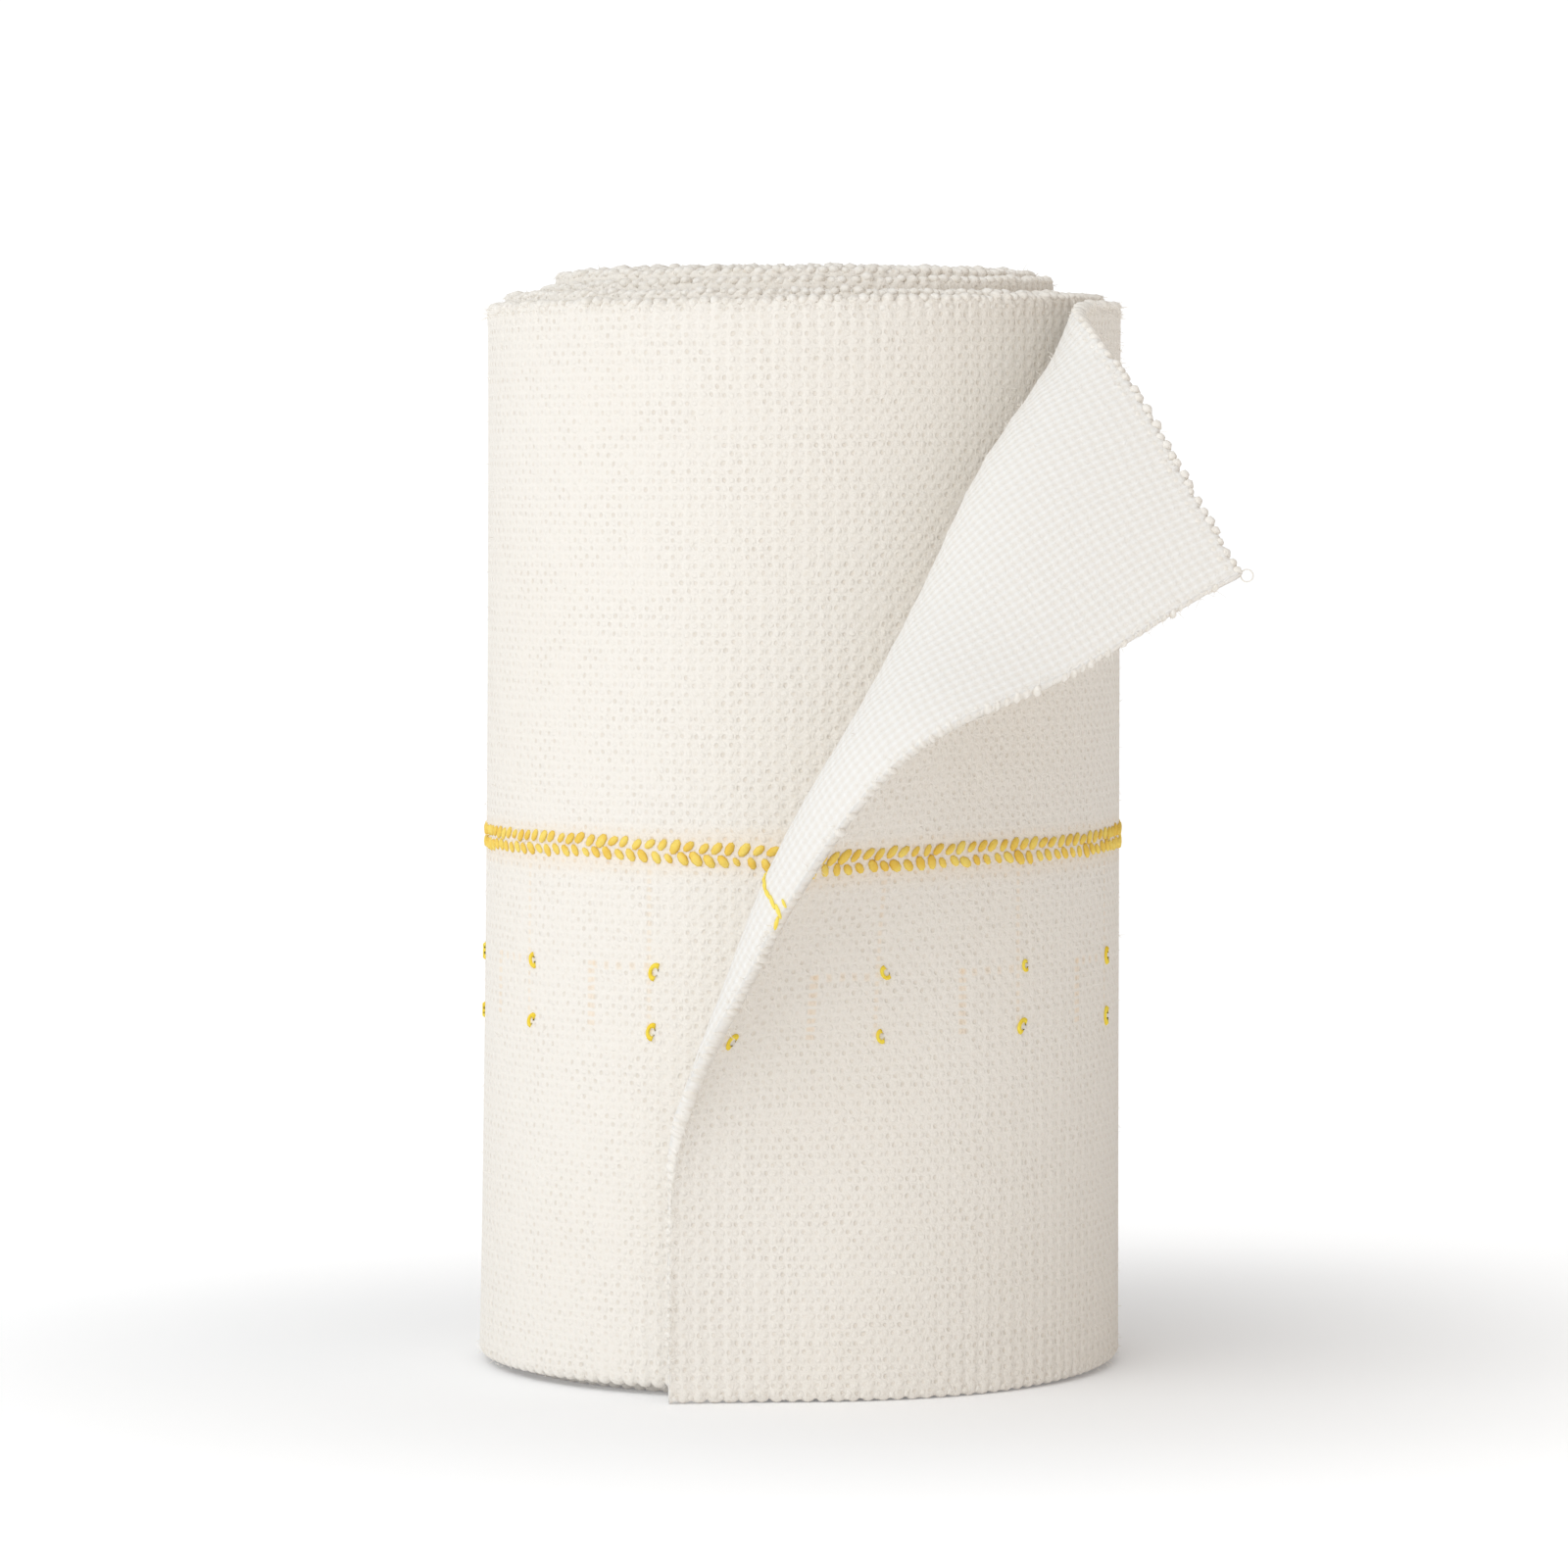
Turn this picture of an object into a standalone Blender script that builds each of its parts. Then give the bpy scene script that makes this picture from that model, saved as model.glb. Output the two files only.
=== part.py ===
"""Compression bandage: one strip of knitted elastic cloth wound into a roll that stands on end.

Parts and how they are made:
  free_end       the strip's last third of a turn, from the cut end. A section across the strip
                 (outer face with a shallow groove for the yellow line, inner face, two edges) is
                 carried along the winding. The upper corner leaves the roll, bows forward and is
                 folded back to the right.
  wound_roll     the rest of the same strip, swept in the same way from the end of free_end to the
                 tight start in the core. The two meet at a narrow joint behind the roll.
  centre_line    the yellow line knitted in along the middle of the outer face: a thin band that
                 lies in the groove with a small clearance and follows the strip from end to end.
Metres, +Z up. The winding axis is Z, the roll stands on Z = 0 and its front faces -Y.
"""
import math

import bmesh
import bpy
from mathutils import Vector
from mathutils.geometry import tessellate_polygon

# Sizes of the cloth and of the roll
STRIP_WIDTH = 0.100
CLOTH = 0.0013
SLACK = 0.0003
ROLL_RADIUS = 0.0307
TURNS = 17.375
CUT_END_ANGLE = -22.83
CORE_TAIL = 0.0009

# The yellow line and its groove
LINE_WIDTH = 0.0024
LINE_DEPTH = 0.0005
LINE_CLEARANCE = 0.0003
LINE_HEIGHT = 0.495

# The folded corner, in shares of the strip's width: where the fold line crosses the cut end and
# the upper edge, and how far the corner leans to the front once it is folded back
FOLD_AT_CUT_END = 0.5320
FOLD_AT_UPPER_EDGE = 0.2529
FLAP_LEAN = -0.172
BOW = 0.037

# In shares of the strip's width: place along the fold line, how far before the line the strip
# leaves the roll there, and how far past the line the bend is finished
FOLD_TABLE = (
    (-0.47, -0.412, 0.308),
    (-0.29, -0.318, 0.065),
    (-0.14, -0.309, 0.119),
    (0.00, -0.304, 0.207),
    (0.13, -0.311, 0.291),
    (0.26, -0.267, 0.209),
    (0.40, -0.234, 0.159),
    (0.53, -0.245, 0.132),
)

# Upper edge: turns from the outside, and its height there as a share of the width
TOP_TABLE = (
    (0.0, 0.997),
    (1.0, 0.997),
    (1.3, 1.005),
    (3.4, 1.006),
    (4.4, 1.022),
    (6.0, 1.028),
    (17.4, 1.030),
)

# Lower edge of the outer turn: raised a little between these shares of a turn
FOOT_LIFT = 0.0007
FOOT_RISE = (0.14, 0.33)
FOOT_FALL = (1.11, 1.28)

# The roll spreads at its left foot; the outer turns follow it
FOOT_SPREAD = 0.0010
SPREAD_SIDE = 270.0
SPREAD_FADE = (1.5, 2.1)

# Rows across the width and columns along the strip
FREE_ROWS_BELOW = (0.0, 0.06, 0.14, 0.21, 0.27, 0.32, 0.37, 0.41, 0.45)
FREE_ROWS_ABOVE = (0.55, 0.60, 0.65, 0.70, 0.75, 0.80, 0.85, 0.90, 0.95, 1.0)
OUTER_ROWS_BELOW = (0.0, 0.06, 0.30)
OUTER_ROWS_ABOVE = (1.0,)
CORE_ROWS_BELOW = (0.0,)
CORE_ROWS_ABOVE = (1.0,)
FREE_TURN = 112.0 / 360.0
FREE_STEP = 4.0
JOINT_TURN = 0.4
JOINT_GAP = 0.0003
OUTER_TURNS = 2.0
OUTER_STEP = 8.0
MIDDLE_TURNS = 8.0
MIDDLE_STEP = 15.0
CORE_STEP = 22.5
TAIL_BEND_STEPS = 6
BEND_STEPS = 30
PROBE = 0.0001
EVEN = 1e-9

# Finish
CREAM = (0.86, 0.82, 0.74)
GOLDEN_YELLOW = (0.84, 0.56, 0.09)
CLOTH_ROUGHNESS = 0.9

PITCH = CLOTH + SLACK
OUTER_PATH = ROLL_RADIUS - CLOTH / 2
CORE_PATH = OUTER_PATH - PITCH * TURNS
GROOVE_LOW = LINE_HEIGHT - (LINE_WIDTH / 2 + LINE_CLEARANCE) / STRIP_WIDTH
GROOVE_HIGH = LINE_HEIGHT + (LINE_WIDTH / 2 + LINE_CLEARANCE) / STRIP_WIDTH
LINE_LOW = LINE_HEIGHT - LINE_WIDTH / 2 / STRIP_WIDTH
LINE_HIGH = LINE_HEIGHT + LINE_WIDTH / 2 / STRIP_WIDTH
OUTER_FACE = CLOTH / 2
INNER_FACE = -CLOTH / 2
GROOVE_FLOOR = OUTER_FACE - LINE_DEPTH - LINE_CLEARANCE
LINE_FLOOR = OUTER_FACE - LINE_DEPTH
UP = Vector((0, 0, 1))
FRONT = Vector((0, -1, 0))


def smooth(low, high, x):
    """0 below low, 1 above high, a soft step between."""
    u = min(1.0, max(0.0, (x - low) / (high - low)))
    return u * u * (3 - 2 * u)


def table_value(table, column, x):
    """A smooth curve through one column of a table whose first column is x."""
    xs = [row[0] for row in table]
    ys = [row[column] for row in table]
    if x <= xs[0]:
        return ys[0]
    if x >= xs[-1]:
        return ys[-1]
    i = max(k for k in range(len(xs) - 1) if xs[k] <= x)
    slopes = []
    for k in (i, i + 1):
        before, after = max(k - 1, 0), min(k + 1, len(xs) - 1)
        slopes.append((ys[after] - ys[before]) / (xs[after] - xs[before]))
    span = xs[i + 1] - xs[i]
    u = (x - xs[i]) / span
    rise = u * u * (3 - 2 * u)
    lead_in = u * (1 - u) * (1 - u) * span * slopes[0]
    lead_out = -u * u * (1 - u) * span * slopes[1]
    return ys[i] + (ys[i + 1] - ys[i]) * rise + lead_in + lead_out


def length_at(turn):
    """Length of the strip's middle from the cut end to so many turns."""
    return 2 * math.pi * turn * OUTER_PATH - math.pi * PITCH * turn * turn


def turn_at(length):
    """Turns from the cut end to a length along the strip."""
    return (OUTER_PATH - math.sqrt(OUTER_PATH**2 - PITCH * length / math.pi)) / PITCH


def height_at(turn, share):
    """Height of a share of the width after so many turns."""
    lift = FOOT_LIFT * (smooth(*FOOT_RISE, turn) - smooth(*FOOT_FALL, turn))
    top = STRIP_WIDTH * table_value(TOP_TABLE, 1, turn)
    return lift + share * (top - lift)


def wound(turn, share):
    """Middle of the cloth where it lies on the roll, with its outward and winding directions."""
    angle = math.radians(CUT_END_ANGLE) + 2 * math.pi * turn
    outward = Vector((math.sin(angle), -math.cos(angle), 0))
    to_cut_end = Vector((-math.cos(angle), -math.sin(angle), 0))
    side = max(0.0, math.cos(angle - math.radians(SPREAD_SIDE)))
    spread = FOOT_SPREAD * side * (1 - min(1.0, max(0.0, share))) ** 2
    spread *= 1 - smooth(*SPREAD_FADE, turn)
    radius = OUTER_PATH - PITCH * turn + spread
    return outward * radius + UP * height_at(turn, share), outward, to_cut_end


def fold_frame():
    """Unit directions along the fold line and across it, in (length, width) of the flat strip."""
    along = Vector((FOLD_AT_UPPER_EDGE, 1 - FOLD_AT_CUT_END)).normalized()
    return along, Vector((-along.y, along.x))


def free_end(length, share):
    """Middle of the cloth near the cut end: on the roll, or bowed out and folded back."""
    along, across = fold_frame()
    flat = Vector((length, (share - FOLD_AT_CUT_END) * STRIP_WIDTH))
    t, w = flat.dot(along), flat.dot(across)
    leaves = STRIP_WIDTH * table_value(FOLD_TABLE, 1, t / STRIP_WIDTH)
    finished = STRIP_WIDTH * table_value(FOLD_TABLE, 2, t / STRIP_WIDTH)
    if w <= leaves:
        return wound(turn_at(length), share)[0]
    start = along * t + across * leaves
    start_share = FOLD_AT_CUT_END + start.y / STRIP_WIDTH
    point, _, to_cut_end = wound(turn_at(start.x), start_share)
    first = to_cut_end * -across.x + UP * across.y
    last = Vector((-across.x, FLAP_LEAN, -across.y)).normalized()
    step = (w - leaves) / BEND_STEPS
    for i in range(BEND_STEPS):
        u = min(1.0, (i + 0.5) * step / (finished - leaves))
        heading = first * (1 - u) ** 2 + FRONT * (2 * u * (1 - u) * BOW) + last * u * u
        point = point + heading.normalized() * step
    return point


def tail(fraction, share):
    """Middle of the cloth at the inner end: half a circle into the axis, then straight on."""
    bend = math.pi * CORE_PATH / 2
    _, outward, to_cut_end = wound(TURNS, share)
    ahead = -to_cut_end
    done = fraction * (bend + CORE_TAIL)
    swing = min(done, bend) / (CORE_PATH / 2)
    centre = outward * (CORE_PATH / 2)
    radial = outward * math.cos(swing) + ahead * math.sin(swing)
    point = centre + radial * (CORE_PATH / 2)
    if done > bend:
        point = point - ahead * (done - bend)
    return point + UP * height_at(TURNS, share), radial


def column_places(first, last):
    """Where the sections stand: turns from the cut end, then fractions of the inner tail."""
    places = []
    zones = (
        (0.0, FREE_TURN, FREE_STEP),
        (FREE_TURN, JOINT_TURN, OUTER_STEP),
        (JOINT_TURN, OUTER_TURNS, OUTER_STEP),
        (OUTER_TURNS, MIDDLE_TURNS, MIDDLE_STEP),
        (MIDDLE_TURNS, TURNS, CORE_STEP),
    )
    for zone_low, zone_high, step in zones:
        low, high = max(zone_low, first), min(zone_high, last)
        if high <= low:
            continue
        count = round((high - low) * 360 / step)
        for i in range(count):
            places.append(("wound", low + (high - low) * i / count))
    places.append(("wound", min(last, TURNS)))
    if last < TURNS:
        return places
    for i in range(1, TAIL_BEND_STEPS + 1):
        bend_share = math.pi * CORE_PATH / 2 / (math.pi * CORE_PATH / 2 + CORE_TAIL)
        places.append(("tail", bend_share * i / TAIL_BEND_STEPS))
    places.append(("tail", 1.0))
    return places


def surface_point(place, share, offset):
    """A point of the cloth: place along the strip, share of its width, offset from its middle."""
    kind, value = place
    if kind == "tail":
        middle, outward = tail(value, share)
        return middle + outward * offset
    if value >= FREE_TURN:
        middle, outward, _ = wound(value, share)
        return middle + outward * offset
    length = length_at(value)
    probe = PROBE / STRIP_WIDTH
    up_edge = free_end(length, share + probe) - free_end(length, share - probe)
    along = free_end(length - PROBE, share) - free_end(length + PROBE, share)
    outward = up_edge.cross(along).normalized()
    point = free_end(length, share) + outward * offset
    point.z = max(point.z, 0.0)
    return point


def rows_for(place):
    """Rows below and above the groove for a place along the strip."""
    kind, value = place
    if kind == "wound" and value < FREE_TURN - EVEN:
        return FREE_ROWS_BELOW, FREE_ROWS_ABOVE
    if kind == "wound" and value < OUTER_TURNS - EVEN:
        return OUTER_ROWS_BELOW, OUTER_ROWS_ABOVE
    return CORE_ROWS_BELOW, CORE_ROWS_ABOVE


def strip_section(place):
    """The section's runs: each a list of (share of the width, offset), in order round it."""
    below, above = rows_for(place)
    plain = below == CORE_ROWS_BELOW
    inner = [0.0, 1.0] if plain else [*below, GROOVE_LOW, GROOVE_HIGH, *above]
    return (
        [(share, OUTER_FACE) for share in (*below, GROOVE_LOW)],
        [(GROOVE_LOW, OUTER_FACE), (GROOVE_LOW, GROOVE_FLOOR)],
        [(GROOVE_LOW, GROOVE_FLOOR), (GROOVE_HIGH, GROOVE_FLOOR)],
        [(GROOVE_HIGH, GROOVE_FLOOR), (GROOVE_HIGH, OUTER_FACE)],
        [(share, OUTER_FACE) for share in (GROOVE_HIGH, *above)],
        [(1.0, OUTER_FACE), (1.0, INNER_FACE)],
        [(share, INNER_FACE) for share in reversed(inner)],
        [(0.0, INNER_FACE), (0.0, OUTER_FACE)],
    )


def line_section(place):
    """The yellow band's section: four straight runs."""
    corners = (
        (LINE_LOW, OUTER_FACE),
        (LINE_LOW, LINE_FLOOR),
        (LINE_HIGH, LINE_FLOOR),
        (LINE_HIGH, OUTER_FACE),
    )
    return tuple([corners[i], corners[(i + 1) % 4]] for i in (3, 0, 1, 2))


def join_runs(bm, first, second, first_shares, second_shares):
    """Faces between two runs of vertices that may hold different numbers of them."""
    i = j = 0
    while i < len(first) - 1 or j < len(second) - 1:
        can_i, can_j = i < len(first) - 1, j < len(second) - 1
        if can_i and can_j and abs(first_shares[i + 1] - second_shares[j + 1]) < EVEN:
            bm.faces.new((first[i], second[j], second[j + 1], first[i + 1]))
            i, j = i + 1, j + 1
        elif can_i and (not can_j or first_shares[i + 1] < second_shares[j + 1]):
            bm.faces.new((first[i], second[j], first[i + 1]))
            i += 1
        else:
            bm.faces.new((first[i], second[j], second[j + 1]))
            j += 1


def cut_cells(runs):
    """A cut across the strip as small cells from face to face, so that it follows a curl."""
    if len(runs) == 4:
        return [[run[0] for run in runs]]
    low_wall, floor, high_wall = runs[1], runs[2], runs[3]
    cells = [[floor[0], floor[1], (floor[1][0], INNER_FACE), (floor[0][0], INNER_FACE)]]
    for run, wall in ((runs[0], low_wall), (list(reversed(runs[4])), high_wall)):
        for near, far in zip(run, run[1:]):
            back_near, back_far = (near[0], INNER_FACE), (far[0], INNER_FACE)
            if far[0] == wall[0][0]:
                deep = (far[0], GROOVE_FLOOR)
                cells += [[near, far, deep], [near, deep, back_near], [back_near, deep, back_far]]
            else:
                cells.append([near, far, back_far, back_near])
    return cells


def run_progress(run):
    """How far along a run each of its points is, by share of the width or by depth."""
    spans = [abs(run[0][0] - share) + abs(run[0][1] - offset) for share, offset in run]
    return [span / spans[-1] for span in spans]


def sweep(name, section_of, first, last):
    """A closed solid: one section after the other along the strip, capped at both ends."""
    bm = bmesh.new()
    sections = []
    for place in column_places(first, last):
        runs = section_of(place)
        made = {}
        for run in runs:
            for key in run:
                if key not in made:
                    made[key] = bm.verts.new(surface_point(place, *key))
        sections.append((runs, made))
    for (runs_a, made_a), (runs_b, made_b) in zip(sections, sections[1:]):
        for run_a, run_b in zip(runs_a, runs_b):
            verts_a = [made_a[key] for key in run_a]
            verts_b = [made_b[key] for key in run_b]
            join_runs(bm, verts_a, verts_b, run_progress(run_a), run_progress(run_b))
    for runs, made in (sections[0], sections[-1]):
        if len(runs) == 4 or len(runs[6]) > 2:
            for cell in cut_cells(runs):
                bm.faces.new([made[key] for key in cell])
            continue
        ring = [key for run in runs for key in run[:-1]]
        outline = [Vector((share * STRIP_WIDTH, offset, 0)) for share, offset in ring]
        for corners in tessellate_polygon([outline]):
            bm.faces.new([made[ring[i]] for i in corners])
    bmesh.ops.recalc_face_normals(bm, faces=bm.faces)
    bmesh.ops.triangulate(bm, faces=bm.faces)
    mesh = bpy.data.meshes.new(name)
    bm.to_mesh(mesh)
    bm.free()
    piece = bpy.data.objects.new(name, mesh)
    bpy.context.collection.objects.link(piece)
    for polygon in mesh.polygons:
        polygon.use_smooth = True
    return piece


def paint(piece, name, color, roughness):
    """Give a part its own cloth material."""
    material = bpy.data.materials.new(name)
    material.use_nodes = True
    shader = material.node_tree.nodes["Principled BSDF"]
    shader.inputs["Base Color"].default_value = (*color, 1)
    shader.inputs["Roughness"].default_value = roughness
    shader.inputs["Metallic"].default_value = 0.0
    piece.data.materials.append(material)


for leftover in list(bpy.data.objects):
    bpy.data.objects.remove(leftover, do_unlink=True)

HALF_GAP = JOINT_GAP / 2 / (2 * math.pi * OUTER_PATH)
free_cloth = sweep("free_end", strip_section, 0.0, JOINT_TURN - HALF_GAP)
paint(free_cloth, "free_end_knit", CREAM, CLOTH_ROUGHNESS)
wound_cloth = sweep("wound_roll", strip_section, JOINT_TURN + HALF_GAP, TURNS)
paint(wound_cloth, "wound_knit", CREAM, CLOTH_ROUGHNESS)
line = sweep("centre_line", line_section, 0.0, TURNS)
paint(line, "yellow_yarn", GOLDEN_YELLOW, CLOTH_ROUGHNESS)
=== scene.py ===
# %% [markdown]
# # A roll of compression bandage
# The roll is one long strip of knitted elastic cloth. This lesson dresses its fixed frame: the
# imported solids say where everything is, and each piece below is built in the same place, in
# metres. The frame is loaded first. The dressed roll has to stay the size of the plain one.

# %% Load the fixed frame
import math

import bpy
import numpy as np
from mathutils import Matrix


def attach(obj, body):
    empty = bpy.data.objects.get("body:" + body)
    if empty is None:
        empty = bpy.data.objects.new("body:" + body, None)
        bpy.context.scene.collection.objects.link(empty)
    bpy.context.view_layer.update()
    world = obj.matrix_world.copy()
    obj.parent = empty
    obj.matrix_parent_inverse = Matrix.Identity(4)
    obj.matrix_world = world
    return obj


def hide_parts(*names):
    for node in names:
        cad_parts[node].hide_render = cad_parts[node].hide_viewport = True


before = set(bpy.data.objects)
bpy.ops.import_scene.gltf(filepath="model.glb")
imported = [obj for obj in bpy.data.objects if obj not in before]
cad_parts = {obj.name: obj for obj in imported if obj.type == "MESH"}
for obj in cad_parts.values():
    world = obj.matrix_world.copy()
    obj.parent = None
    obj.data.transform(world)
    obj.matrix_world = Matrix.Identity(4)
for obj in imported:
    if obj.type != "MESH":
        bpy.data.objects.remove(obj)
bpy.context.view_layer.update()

MM = 0.001

# %% [markdown]
# ## The camera
# The photograph was taken from a little below the upper rim, with a long lens that keeps the
# sides of the roll nearly parallel. A long lens far away does the same here. The camera comes
# first, so that every later piece can be looked at from the right place.

# %% Camera at the photograph's angle
DISTANCE = 612 * MM
CAMERA_HEIGHT = 85 * MM
CAMERA_SIDE = -1.5 * MM
PITCH_DOWN = math.radians(2.85)
SENSOR, LENS = 36, 148.5  # in millimetres, as Blender wants them
camera_data = bpy.data.cameras.new("photo_camera")
camera_data.sensor_width = SENSOR
camera_data.lens = LENS
camera = bpy.data.objects.new("photo_camera", camera_data)
camera.location = (CAMERA_SIDE, -DISTANCE, CAMERA_HEIGHT)
camera.rotation_euler = (math.radians(90) - PITCH_DOWN, 0, 0)
bpy.context.collection.objects.link(camera)
bpy.context.scene.camera = camera
print("lens", camera_data.lens, "mm from", DISTANCE, "m")

# %% [markdown]
# ## How the strip lies
# Everything on the roll is placed on the strip: so far along it, so far across it, so far out
# from its middle. One function turns such a place into a point in space. Most of the strip
# follows a spiral. Near the cut end it leaves the roll, bows forward and folds back, which is
# worked out in small steps from a short table, the same way as in the solid.

# %% Sizes of the strip and the roll
STRIP_WIDTH = 100 * MM
CLOTH = 1.3 * MM
PITCH = 1.6 * MM
ROLL_RADIUS = 30.7 * MM
TURNS = 17.375
OUTER_PATH = ROLL_RADIUS - CLOTH / 2
CORE_PATH = OUTER_PATH - PITCH * TURNS
CORE_TAIL = 0.9 * MM
CUT_END_ANGLE = math.radians(-22.83)
FREE_TURN = 112 / 360
FOLD_AT_CUT_END = 0.5320
FOLD_AT_UPPER_EDGE = 0.2529
FLAP_LEAN = -0.172
BOW = 0.037
BEND_STEPS = 30
FOLD_TABLE = (  # along the fold line, leaves the roll, bend finished; shares of the width
    (-0.47, -0.412, 0.308),
    (-0.29, -0.318, 0.065),
    (-0.14, -0.309, 0.119),
    (0.00, -0.304, 0.207),
    (0.13, -0.311, 0.291),
    (0.26, -0.267, 0.209),
    (0.40, -0.234, 0.159),
    (0.53, -0.245, 0.132),
)
TOP_TABLE = (  # turns from the outside, height as a share of the width
    (0.0, 0.997),
    (1.0, 0.997),
    (1.3, 1.005),
    (3.4, 1.006),
    (4.4, 1.022),
    (6.0, 1.028),
    (17.4, 1.030),
)
FOOT_LIFT = 0.7 * MM
FOOT_SPREAD = 1.0 * MM
SPREAD_SIDE = math.radians(270)


def smooth(low, high, x):
    """0 below low, 1 above high, a soft step between."""
    u = np.clip((x - low) / (high - low), 0, 1)
    return u * u * (3 - 2 * u)


def table_value(table, column, x):
    """A smooth curve through one column of a table."""
    xs = np.array([row[0] for row in table])
    ys = np.array([row[column] for row in table])
    slopes = np.array([
        (ys[min(k + 1, len(xs) - 1)] - ys[max(k - 1, 0)])
        / (xs[min(k + 1, len(xs) - 1)] - xs[max(k - 1, 0)])
        for k in range(len(xs))
    ])
    x = np.clip(x, xs[0], xs[-1])
    i = np.clip(np.searchsorted(xs, x, side="right") - 1, 0, len(xs) - 2)
    span = xs[i + 1] - xs[i]
    u = (x - xs[i]) / span
    rise = u * u * (3 - 2 * u)
    leads = u * (1 - u) ** 2 * span * slopes[i] - u * u * (1 - u) * span * slopes[i + 1]
    return ys[i] + (ys[i + 1] - ys[i]) * rise + leads


def length_at(turn):
    """Length of the strip from the cut end to so many turns."""
    return 2 * math.pi * turn * OUTER_PATH - math.pi * PITCH * turn * turn


def turn_at(length):
    """Turns from the cut end to a length along the strip."""
    inside = OUTER_PATH**2 - PITCH * length / math.pi
    return (OUTER_PATH - np.sqrt(np.maximum(inside, CORE_PATH**2))) / PITCH


# %% Points on the wound strip and on its folded end
def on_roll(length, share):
    """Middle of the cloth on the roll, with its outward direction and the way to the cut end."""
    turn = turn_at(length)
    angle = CUT_END_ANGLE + 2 * math.pi * turn
    none = np.zeros_like(angle)
    outward = np.stack([np.sin(angle), -np.cos(angle), none], -1)
    to_cut_end = np.stack([-np.cos(angle), -np.sin(angle), none], -1)
    side = np.maximum(0, np.cos(angle - SPREAD_SIDE))
    spread = FOOT_SPREAD * side * (1 - np.clip(share, 0, 1)) ** 2 * (1 - smooth(1.5, 2.1, turn))
    radius = OUTER_PATH - PITCH * turn + spread
    lift = FOOT_LIFT * (smooth(0.14, 0.33, turn) - smooth(1.11, 1.28, turn))
    top = STRIP_WIDTH * table_value(TOP_TABLE, 1, turn)
    point = outward * radius[..., None]
    point[..., 2] = lift + share * (top - lift)
    return point, outward, to_cut_end


def free_end(length, share):
    """Middle of the cloth near the cut end, bent about lines along the fold."""
    along = np.array([FOLD_AT_UPPER_EDGE, 1 - FOLD_AT_CUT_END])
    along = along / np.linalg.norm(along)
    across = np.array([-along[1], along[0]])
    width_way = (share - FOLD_AT_CUT_END) * STRIP_WIDTH
    t = length * along[0] + width_way * along[1]
    w = length * across[0] + width_way * across[1]
    leaves = STRIP_WIDTH * table_value(FOLD_TABLE, 1, t / STRIP_WIDTH)
    finished = STRIP_WIDTH * table_value(FOLD_TABLE, 2, t / STRIP_WIDTH)
    start = np.minimum(w, leaves)
    start_length = t * along[0] + start * across[0]
    start_share = FOLD_AT_CUT_END + (t * along[1] + start * across[1]) / STRIP_WIDTH
    point, _, to_cut_end = on_roll(start_length, start_share)
    up = np.array([0, 0, 1.0])
    first = to_cut_end * -across[0] + up * across[1]
    last = np.array([-across[0], FLAP_LEAN, -across[1]])
    last = last / np.linalg.norm(last)
    front = np.array([0, -1.0, 0])
    step = (w - start) / BEND_STEPS
    for i in range(BEND_STEPS):
        u = np.clip((i + 0.5) * step / (finished - leaves), 0, 1)[..., None]
        heading = first * (1 - u) ** 2 + front * (2 * u * (1 - u) * BOW) + last * u * u
        heading = heading / np.linalg.norm(heading, axis=-1, keepdims=True)
        point = point + heading * step[..., None]
    return point


def core_tail(length, share):
    """Middle of the cloth at the inner end: half a circle into the axis, then straight on."""
    bend = math.pi * CORE_PATH / 2
    full = np.full_like(length, length_at(TURNS))
    _, outward, to_cut_end = on_roll(full, share)
    done = length - length_at(TURNS)
    swing = (np.minimum(done, bend) / (CORE_PATH / 2))[..., None]
    radial = outward * np.cos(swing) - to_cut_end * np.sin(swing)
    point = outward * (CORE_PATH / 2) + radial * (CORE_PATH / 2)
    point = point + to_cut_end * np.maximum(0, done - bend)[..., None]
    point[..., 2] = share * STRIP_WIDTH * TOP_TABLE[-1][1]
    return point, radial


STRIP_LENGTH = length_at(TURNS) + math.pi * CORE_PATH / 2 + CORE_TAIL


def on_strip(length, share, offset=0.0):
    """A point of the cloth and its outward direction, anywhere along the strip."""
    length, share, offset = np.broadcast_arrays(*map(np.asarray, (length, share, offset)))
    length, share = length.astype(float), share.astype(float)
    point, outward, _ = on_roll(length, share)
    free = length < length_at(FREE_TURN)
    if free.any():
        a, b, probe = length[free], share[free], 0.1 * MM
        rise = free_end(a, b + probe / STRIP_WIDTH) - free_end(a, b - probe / STRIP_WIDTH)
        run = free_end(a - probe, b) - free_end(a + probe, b)
        normal = np.cross(rise, run)
        outward[free] = normal / np.linalg.norm(normal, axis=-1, keepdims=True)
        point[free] = free_end(a, b)
    tail = length > length_at(TURNS)
    if tail.any():
        point[tail], outward[tail] = core_tail(length[tail], share[tail])
    return point + outward * offset[..., None], outward


tip, _ = on_strip(0.0, 1.0)
print("strip", round(STRIP_LENGTH, 3), "m long; folded corner at", np.round(tip, 4).tolist())

# %% [markdown]
# ## The knitted strip
# The cloth is a thick, soft ladder of ribs. Along both selvedges each rib ends in a small round
# loop, so the edges are scalloped. A sheet this regular is quickest to build as a grid: one ring of
# points round the strip for every step along it, with the ribs and loops worked into the points.
# The part that shows is built finely. The turns inside show only their edges, so they get few rows.
# The join between the two lies hidden under the outermost turn.

# %% Rings round the strip, with ribs and looped edges
RIB = 1.4 * MM
EDGE_REACH = 0.9 * MM
SCALLOP_DEPTH = 0.42 * MM
SCALLOP_UNEVEN = 0.25
NOTCH_THINNING = 0.38
RIB_FADE = 9 * MM
rng = np.random.default_rng(7)


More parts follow.
